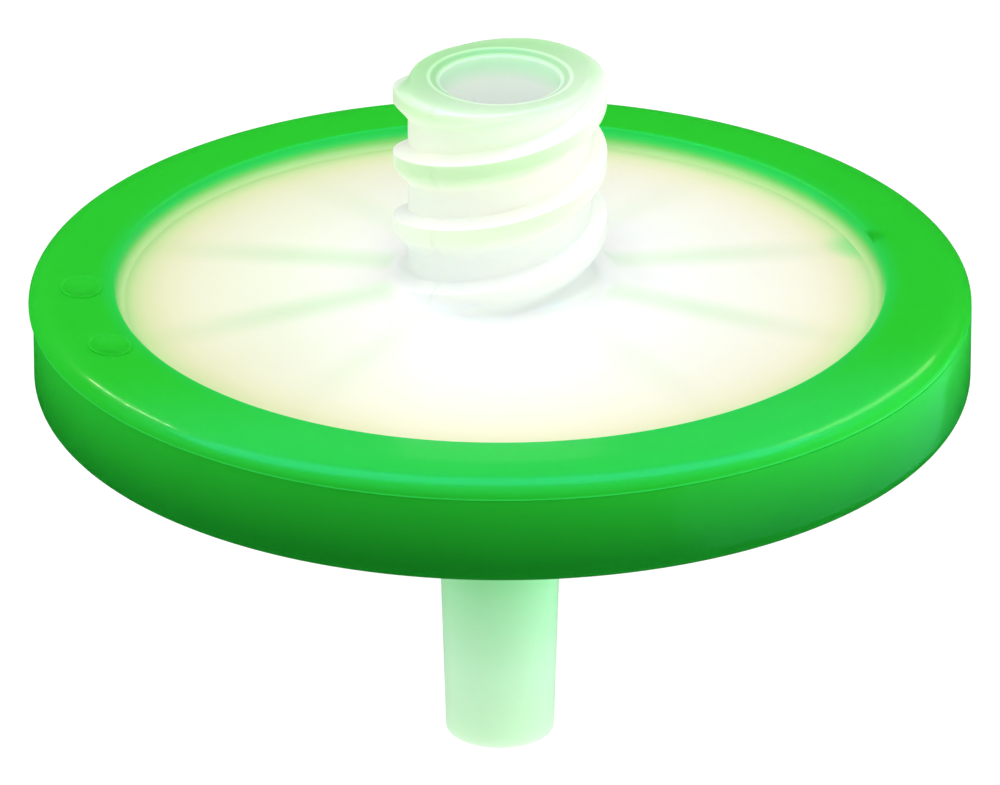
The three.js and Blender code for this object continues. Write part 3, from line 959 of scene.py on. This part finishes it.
topped = add(natural, "ShaderNodeMix", {
    0: on_top, 6: whole.outputs[2], 7: top_colour.outputs[2]
}, data_type="RGBA")
minted = add(natural, "ShaderNodeMix", {
    0: in_bore, 6: topped.outputs[2], 7: ramp_by_height(natural, place, BORE_BY_HEIGHT)
}, data_type="RGBA")
print("hub's top in", len(TOP_BY_RADIUS), "tones, from the bore outwards")

# %% Shade under the ridges
RIDGE_UNDERSIDE = "CDE8C2"
RIDGE_SIDE = (-0.3, -0.95, 0.0)  # the side of the hub where the shade shows most

outward = add(natural, "ShaderNodeTexCoord").outputs["Normal"]
facing = add(natural, "ShaderNodeSeparateXYZ", {0: outward}).outputs["Z"]
under = add(natural, "ShaderNodeMapRange", {
    0: facing, 1: 0.6, 2: 0.0, 3: 0.0, 4: 1.0
}, interpolation_type="SMOOTHSTEP")
on_ridge = add(natural, "ShaderNodeMapRange", {
    0: radius, 1: (NECK_RADIUS + 0.08) * MM, 2: THREAD_RADIUS * MM
})
below_edge = add(natural, "ShaderNodeMath", {0: under, 1: on_ridge}, operation="MULTIPLY")
to_front = add(natural, "ShaderNodeVectorMath", {0: place, 1: RIDGE_SIDE}, operation="DOT_PRODUCT")
front_share = add(natural, "ShaderNodeMapRange", {
    0: to_front.outputs["Value"], 1: 0.5 * MM, 2: 3.0 * MM, 3: 0.15
})
below_front = add(natural, "ShaderNodeMath", {0: below_edge, 1: front_share}, operation="MULTIPLY")
up_hub = add(natural, "ShaderNodeMapRange", {0: flat["Z"], 1: 20.0 * MM, 2: 23.3 * MM, 3: 0.15})
below_high = add(natural, "ShaderNodeMath", {0: below_front, 1: up_hub}, operation="MULTIPLY")
ridge_share = add(natural, "ShaderNodeMath", {0: below_high, 1: on_hub}, operation="MULTIPLY")
shaded_under = add(natural, "ShaderNodeMix", {
    0: ridge_share, 6: minted.outputs[2], 7: linear(RIDGE_UNDERSIDE)
}, data_type="RGBA")
print("shade where a ridge faces down, from radius", NECK_RADIUS, "to", THREAD_RADIUS)

# %% [markdown]
# The skin is smooth with slow ripples, from the polish of the steel. Two slides of the mould
# met along the hub and left a seam on each side of it, a raised hair a tenth of a millimetre
# wide. Light goes deep into this plastic, except at the plate's edge, where green lies under
# the surface and stops it.

# %% Skin, seams and the finished plastic
SEAM_ANGLE = radians(231)  # where the two slides of the mould meet on the hub
SEAM_NORMAL = (sin(SEAM_ANGLE), -cos(SEAM_ANGLE), 0.0)
RIPPLE = 0.8  # millimetres between the slow ripples of polished steel

ripples = add(natural, "ShaderNodeTexNoise", {
    "Vector": place, "Scale": 1 / (RIPPLE * MM), "Detail": 3.0
})
gloss = add(natural, "ShaderNodeMapRange", {0: ripples, 1: 0.3, 2: 0.7, 3: 0.4, 4: 0.48})
skin = add(natural, "ShaderNodeBump", {"Height": ripples, "Distance": 0.002 * MM, "Strength": 1.0})
off_seam = add(natural, "ShaderNodeVectorMath", {0: place, 1: SEAM_NORMAL}, operation="DOT_PRODUCT")
near_seam = add(natural, "ShaderNodeMath", {0: off_seam.outputs["Value"]}, operation="ABSOLUTE")
flash = add(natural, "ShaderNodeMapRange", {
    0: near_seam, 1: 0.02 * MM, 2: 0.09 * MM, 3: 1.0, 4: 0.0
}, interpolation_type="SMOOTHSTEP")
on_wall = add(natural, "ShaderNodeMapRange", {0: radius, 1: 3.32 * MM, 2: 3.6 * MM})
flash_on_wall = add(natural, "ShaderNodeMath", {0: flash, 1: on_wall}, operation="MULTIPLY")
flash_on_hub = add(natural, "ShaderNodeMath", {0: flash_on_wall, 1: on_hub}, operation="MULTIPLY")
seamed = add(natural, "ShaderNodeBump", {
    "Height": flash_on_hub, "Distance": 0.03 * MM, "Strength": 1.0, "Normal": skin
})
deep = add(natural, "ShaderNodeMapRange", {0: radius, 1: 12.6 * MM, 2: 13.5 * MM, 3: 1.0, 4: 0.15})
plastic = add(natural, "ShaderNodeBsdfPrincipled", {
    "Base Color": shaded_under.outputs[2],
    "Roughness": gloss,
    "Normal": seamed,
    "IOR": 1.49,
    "Specular IOR Level": 0.3,
    "Subsurface Weight": deep,
    "Subsurface Radius": (1.0, 1.0, 0.9),
    "Subsurface Scale": 0.9 * MM,
})
end_material(natural, plastic)
give(inlet, natural, "natural_polypropylene", "inlet_housing")

# %% [markdown]
# The outlet is the same plastic again, but its stem hangs in the light that has come through
# the green rim and in the rim's shadow, so it is painted green and darker at its root, as
# painted light and shade, and pales towards its tip. The plate round the stem is lit from
# below and stays nearly white.

# %% Material of the outlet shell
OUTLET_BY_HEIGHT = [  # pale at the tip, green and darker at the root: painted light and shadow from the rim
    (0.0, "CCECCB"),
    (3.0, "C0E9C6"),
    (6.0, "A2DCAC"),
    (8.5, "66C87B"),
    (11.5, "3CB556"),
    (14.0, "38AC4E"),
]
PLATE_UNDERSIDE = "E2F2DC"

shaded, place = start_material("natural_polypropylene_tinged")
stem_colour = ramp_by_height(shaded, place, OUTLET_BY_HEIGHT)
off_stem = add(shaded, "ShaderNodeMapRange", {
    0: radius_on(shaded, place), 1: (STEM_RADIUS + 0.1) * MM, 2: (STEM_RADIUS + 1.5) * MM
}, interpolation_type="SMOOTHSTEP")
root_colour = add(shaded, "ShaderNodeMix", {
    0: off_stem, 6: stem_colour, 7: linear(PLATE_UNDERSIDE)
}, data_type="RGBA").outputs[2]
ripples = add(shaded, "ShaderNodeTexNoise", {
    "Vector": place, "Scale": 1 / (RIPPLE * MM), "Detail": 3.0
})
gloss = add(shaded, "ShaderNodeMapRange", {0: ripples, 1: 0.3, 2: 0.7, 3: 0.42, 4: 0.5})
skin = add(shaded, "ShaderNodeBump", {"Height": ripples, "Distance": 0.002 * MM, "Strength": 1.0})
plastic = add(shaded, "ShaderNodeBsdfPrincipled", {
    "Base Color": root_colour,
    "Roughness": gloss,
    "Normal": skin,
    "IOR": 1.49,
    "Specular IOR Level": 0.3,
    "Subsurface Weight": 1.0,
    "Subsurface Radius": (0.9, 1.0, 0.9),
    "Subsurface Scale": 1.0 * MM,
})
end_material(shaded, plastic)
give(outlet, shaded, "natural_polypropylene", "outlet_housing")

# %% [markdown]
# ## Cellulose film
# The membrane is cast from cellulose esters: a matte, paper-white sponge with pores far too
# fine to see. A slow mottle stands for the felt-like unevenness of the cast sheet.

# %% Material of the membrane
paper, place = start_material("cellulose_ester_cast_film")
mottle = add(paper, "ShaderNodeTexNoise", {"Vector": place, "Scale": 1 / (0.5 * MM), "Detail": 4.0})
tone = add(paper, "ShaderNodeMix", {
    0: mottle, 6: linear("F3F0E6"), 7: linear("FBFAF4")
}, data_type="RGBA")
felt = add(paper, "ShaderNodeBump", {"Height": mottle, "Distance": 0.01 * MM, "Strength": 1.0})
matte = add(paper, "ShaderNodeMapRange", {0: mottle, 3: 0.85, 4: 0.95})
sheet = add(paper, "ShaderNodeBsdfPrincipled", {
    "Base Color": tone.outputs[2], "Roughness": matte, "Normal": felt
})
end_material(paper, sheet)
give(film, paper, "membrane", "filter_membrane")

# %% [markdown]
# ## Floor and light
# The filter stands on a light table: a sheet of opal acrylic, lit from below, which makes a
# white ground with hardly a shadow. Two kinds of lamp stand round it, as in a studio for
# small glossy goods. Softboxes give the colours their soft, even shading, and their own
# reflections are switched off, as if a polariser cut them. Narrow strips behind black flags
# do the opposite: they light nothing, but each draws one clean highlight, two behind the
# filter for the rim's shoulder, one above it and one low in front for the side. Their faint
# tints are those of the sheets that they shine through.

# %% Floor
TABLE_RADIUS = 3.0  # metres, far past the edge of the view
alone()
bpy.ops.mesh.primitive_circle_add(
    vertices=96, radius=TABLE_RADIUS, fill_type="NGON", location=(0, 0, 0)
)
floor = bpy.context.object
floor.name = floor.data.name = "light_table"
opal = bpy.data.materials.new("opal_acrylic_sheet")
opal.use_nodes = True
opal.node_tree.nodes.clear()
sheet = add(opal, "ShaderNodeBsdfPrincipled", {
    "Base Color": linear("7C7C7C"),
    "Roughness": 0.9,
    "Specular IOR Level": 0.0,
    "Emission Color": linear("FFFFFF"),
    "Emission Strength": 0.9,
})
add(opal, "ShaderNodeOutputMaterial", {"Surface": sheet})
floor.data.materials.append(opal)
floor.visible_glossy = False
floor.visible_shadow = False
print("the light table reaches", TABLE_RADIUS, "m each way")

# %% Lights
world = bpy.data.worlds.new("studio_air")
bpy.context.scene.world = world
world.use_nodes = True
sky = world.node_tree.nodes["Background"]
way = add(world, "ShaderNodeTexCoord").outputs["Generated"]
rise = add(world, "ShaderNodeSeparateXYZ", {0: way}).outputs["Z"]
share = add(world, "ShaderNodeMapRange", {0: rise, 1: -1.0, 2: 1.0})
glow = add(world, "ShaderNodeValToRGB", {0: share})
paint_stops(glow, [(0.49, "000000"), (0.5, "808080"), (1.0, "FFFFFF")])
world.node_tree.links.new(glow.outputs[0], sky.inputs["Color"])
sky.inputs["Strength"].default_value = 0.98
world.cycles_visibility.glossy = False

RIM_CENTRE = Vector((0, 0, RIM_TOP)) * MM


def direction(azimuth, elevation):
    """Unit vector towards an azimuth from +X and an elevation, both in degrees."""
    a, e = radians(azimuth), radians(elevation)
    return Vector((cos(a) * cos(e), sin(a) * cos(e), sin(e)))


def softbox(name, azimuth, elevation, distance, size, glow):
    """A square light that faces the filter. Its glow is its brightness, white paper being 1."""
    place = RIM_CENTRE + direction(azimuth, elevation) * distance
    alone()
    bpy.ops.object.light_add(type="AREA", location=place)
    light = bpy.context.object
    light.name = light.data.name = name
    light.rotation_mode = "QUATERNION"
    light.rotation_quaternion = (RIM_CENTRE - place).to_track_quat("-Z", "Y")
    light.data.size = size
    light.data.energy = glow * pi * size ** 2
    light.visible_camera = False
    light.visible_glossy = False
    return light


def strip_light(name, azimuth, elevation, roll, long, wide, glow, colour="FFFFFF"):
    """A strip that only draws a highlight. Its roll, length and width are in degrees."""
    light = softbox(name, azimuth, elevation, 0.5, tan(radians(long / 2)), glow)
    light.rotation_quaternion = light.rotation_quaternion @ Quaternion((0, 0, 1), radians(roll))
    light.data.shape = "RECTANGLE"
    light.data.size_y = tan(radians(wide / 2))
    light.data.energy = glow * pi * light.data.size * light.data.size_y
    light.data.color = linear(colour)[:3]
    light.visible_glossy = True
    light.visible_diffuse = False


# name, azimuth and elevation in degrees, distance and size in metres, glow
softbox("front_softbox", 272, 38, 0.5, 0.3, 1.9)
softbox("top_softbox", 270, 80, 0.5, 0.3, 2.2)
softbox("right_softbox", 340, 15, 0.5, 0.25, 0.5)
softbox("left_softbox", 195, 20, 0.5, 0.25, 1.15)
softbox("back_left_softbox", 141.8, 39, 0.5, 0.15, 3.0)
softbox("back_right_softbox", 36, 41.5, 0.5, 0.18, 1.8)
softbox("right_foot_softbox", 333, -14, 0.05, 0.03, 4.7)
softbox("left_foot_softbox", 182, -14, 0.05, 0.025, 2.8)
# name, azimuth, elevation, roll, length and width in degrees, glow, tint of its sheet
strip_light("left_strip", 142.5, 41, 52, 20, 0.7, 270.0, "FFF2C8")
strip_light("right_strip", 36.5, 41.5, -52, 36, 8, 17.0, "E8FFC0")
strip_light("top_strip", 270, 90, 0, 100, 28, 14.0, "50E8FF")
strip_light("table_strip", 0, -20, 0, 90, 30, 3.8, "73FFC0")
print("lights:", ", ".join(sorted(light.name for light in bpy.data.lights)))

# %% Camera
CAMERA_DISTANCE = 0.4438  # metres
CAMERA_ELEVATION = 24.47  # degrees
FOCAL_LENGTH = 444.2
AIM_BELOW = 4.59  # the view's middle lies this far under the rim's top, in millimetres
aim = RIM_CENTRE - Vector((0, 0, AIM_BELOW * MM))
camera_place = RIM_CENTRE + direction(270, CAMERA_ELEVATION) * CAMERA_DISTANCE
alone()
bpy.ops.object.camera_add(location=camera_place)
camera = bpy.context.object
camera.name = camera.data.name = "catalogue_camera"
camera.rotation_euler = (aim - camera_place).to_track_quat("-Z", "Y").to_euler()
camera.data.lens = FOCAL_LENGTH
camera.data.sensor_width = 36
camera.data.clip_start = 0.01
bpy.context.scene.camera = camera
bpy.context.scene.view_settings.view_transform = "Standard"
print("the camera stands", CAMERA_DISTANCE, "m away and", CAMERA_ELEVATION, "degrees up")
